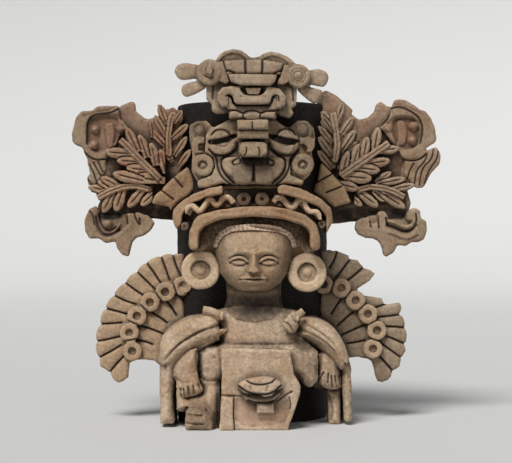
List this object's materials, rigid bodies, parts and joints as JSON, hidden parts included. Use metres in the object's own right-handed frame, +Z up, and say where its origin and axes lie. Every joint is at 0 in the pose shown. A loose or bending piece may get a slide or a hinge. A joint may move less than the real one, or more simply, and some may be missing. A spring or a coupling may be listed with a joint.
{
  "type": "funerary urn",
  "caption": "Fired-clay effigy urn: an open cylinder behind a seated figure in a wide headdress with stacked monster masks, leaf wings ending in open jaws, and side fans.",
  "frame": {"origin": "middle of the cylinder's flat foot, on the surface that the urn stands on", "axes": "+Z up, -Y the way the figure faces, +X towards the viewer's right"},
  "size_m": [0.7197, 0.4353, 0.7046],
  "materials": {
    "vessel_clay": "unglazed grey-brown clay, matt",
    "figure_clay": "unglazed buff clay, matt",
    "face_clay": "unglazed buff clay, smoothed",
    "apron_clay": "unglazed buff clay with traces of red pigment",
    "spool_clay": "unglazed cream slip, matt",
    "headdress_clay": "unglazed buff clay, matt",
    "mask_clay": "unglazed buff clay with soot, matt",
    "crest_clay": "unglazed buff clay, matt",
    "wing_clay": "unglazed clay with traces of red pigment",
    "fan_clay": "unglazed buff clay, matt"
  },
  "bodies": {
    "root": {"vessel": "vessel_clay", "torso": "figure_clay", "left_arm": "figure_clay", "right_arm": "figure_clay", "left_leg": "figure_clay", "right_leg": "figure_clay", "left_cape": "figure_clay", "right_cape": "figure_clay", "left_knot": "figure_clay", "right_knot": "figure_clay", "apron": "apron_clay", "apron_mask": "apron_clay", "left_ear_spool": "spool_clay", "right_ear_spool": "spool_clay", "head": "face_clay", "hair_fringe": "face_clay", "brim": "headdress_clay", "crown_band": "headdress_clay", "left_upper_rim": "headdress_clay", "right_upper_rim": "headdress_clay", "left_wave": "headdress_clay", "right_wave": "headdress_clay", "left_band_disc": "headdress_clay", "right_band_disc": "headdress_clay", "mask_face": "mask_clay", "mask_snout": "mask_clay", "mask_teeth": "mask_clay", "left_eye_plate": "mask_clay", "right_eye_plate": "mask_clay", "left_mask_ear": "mask_clay", "right_mask_ear": "mask_clay", "left_mask_ear_disc": "mask_clay", "right_mask_ear_disc": "mask_clay", "crest_plate": "crest_clay", "crest_forehead": "crest_clay", "crest_nose": "crest_clay", "crest_lip": "crest_clay", "crest_jaw": "crest_clay", "left_crest_disc": "crest_clay", "right_crest_disc": "crest_clay", "left_crest_petals": "crest_clay", "right_crest_petals": "crest_clay", "left_wing_panel": "wing_clay", "left_upper_jaw": "wing_clay", "left_lower_jaw": "wing_clay", "left_upper_leaf": "wing_clay", "left_lower_leaf": "wing_clay", "left_middle_leaf": "wing_clay", "left_bow": "wing_clay", "left_fan": "fan_clay", "left_fan_discs": "fan_clay", "right_wing_panel": "wing_clay", "right_upper_jaw": "wing_clay", "right_lower_jaw": "wing_clay", "right_upper_leaf": "wing_clay", "right_lower_leaf": "wing_clay", "right_middle_leaf": "wing_clay", "right_bow": "wing_clay", "right_fan": "fan_clay", "right_fan_discs": "fan_clay"}
  },
  "joints": []
}
